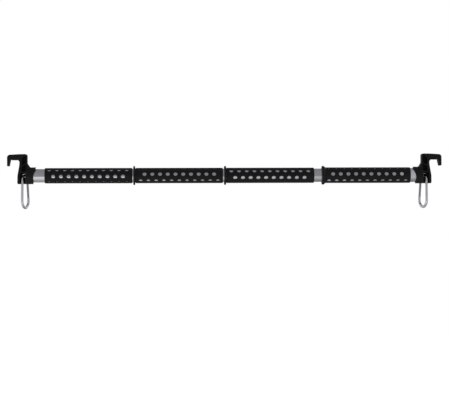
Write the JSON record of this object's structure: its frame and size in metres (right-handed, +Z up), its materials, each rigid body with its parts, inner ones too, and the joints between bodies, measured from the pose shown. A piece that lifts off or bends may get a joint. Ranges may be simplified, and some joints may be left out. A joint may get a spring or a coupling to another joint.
{
  "type": "bed cargo bar",
  "caption": "Telescoping pickup-bed cargo bar with rail hooks, perforated rubber sleeves, divider rings, a twist-lock collar and hanging spring-gate links.",
  "frame": {"origin": "middle of the left hook's rail seat, on the pad's underside", "axes": "+X along the bar from the left hook to the right hook, +Z up, -Y towards the viewer of the front"},
  "size_m": [1.5212, 0.0732, 0.1921],
  "materials": {
    "hook_moulding": "satin moulded, fine texture",
    "pad_rubber": "grooved, matt",
    "pin_steel": "zinc plated",
    "link_chrome": "bright plated",
    "gate_chrome": "bright plated",
    "spring_steel": "drawn wire",
    "tube_aluminium": "satin anodised, drawn along the length",
    "plug_plastic": "moulded",
    "sleeve_rubber": "smooth moulded, low sheen",
    "ring_plastic": "satin moulded",
    "collar_plastic": "satin moulded",
    "collet_nylon": "natural nylon"
  },
  "bodies": {
    "left_half": {"left_hook": "hook_moulding", "left_rail_pad": "pad_rubber", "left_cross_pin": "pin_steel", "inner_tube": "tube_aluminium", "inner_end_plug": "plug_plastic", "sleeve_1": "sleeve_rubber", "sleeve_2": "sleeve_rubber", "sleeve_3": "sleeve_rubber", "divider_ring_1": "ring_plastic", "divider_ring_2": "ring_plastic", "ring_grub_screws": "pin_steel"},
    "right_half": {"outer_tube": "tube_aluminium", "sleeve_4": "sleeve_rubber", "lock_ferrule": "tube_aluminium", "lock_collet": "collet_nylon", "right_hook": "hook_moulding", "right_rail_pad": "pad_rubber", "right_cross_pin": "pin_steel"},
    "collar": {"lock_collar": "collar_plastic"},
    "left_link": {"left_link_body": "link_chrome", "left_gate_pin": "pin_steel"},
    "left_gate": {"left_link_gate": "gate_chrome", "left_gate_spring": "spring_steel", "left_gate_plunger": "spring_steel"},
    "right_link": {"right_link_body": "link_chrome", "right_gate_pin": "pin_steel"},
    "right_gate": {"right_link_gate": "gate_chrome", "right_gate_spring": "spring_steel", "right_gate_plunger": "spring_steel"}
  },
  "joints": [
    {"name": "telescope", "type": "slide", "parent": "left_half", "child": "right_half", "axis": [1, 0, 0], "range_m": [-0.027, 0.19]},
    {"name": "collar_twist", "type": "hinge", "parent": "right_half", "child": "collar", "pos_m": [1.079, 0, -0.0545], "axis": [1, 0, 0], "range_deg": [0, 90]},
    {"name": "left_link_swing", "type": "hinge", "parent": "left_half", "child": "left_link", "pos_m": [0.0331, 0.008, -0.0742], "axis": [-0.9336, 0.3584, 0], "range_deg": [-55, 55]},
    {"name": "left_gate_open", "type": "hinge", "parent": "left_link", "child": "left_gate", "pos_m": [0.04084, 0.02816, -0.07747], "axis": [-0.9336, 0.3584, 0], "range_deg": [0, 24], "stiffness_Nm_per_rad": 0.15, "springref_deg": -22.92},
    {"name": "right_link_swing", "type": "hinge", "parent": "right_half", "child": "right_link", "pos_m": [1.4339, 0.008, -0.0742], "axis": [-0.9336, -0.3584, 0], "range_deg": [-55, 55]},
    {"name": "right_gate_open", "type": "hinge", "parent": "right_link", "child": "right_gate", "pos_m": [1.42616, 0.02816, -0.07747], "axis": [-0.9336, -0.3584, 0], "range_deg": [0, 24], "stiffness_Nm_per_rad": 0.15, "springref_deg": -22.92}
  ]
}
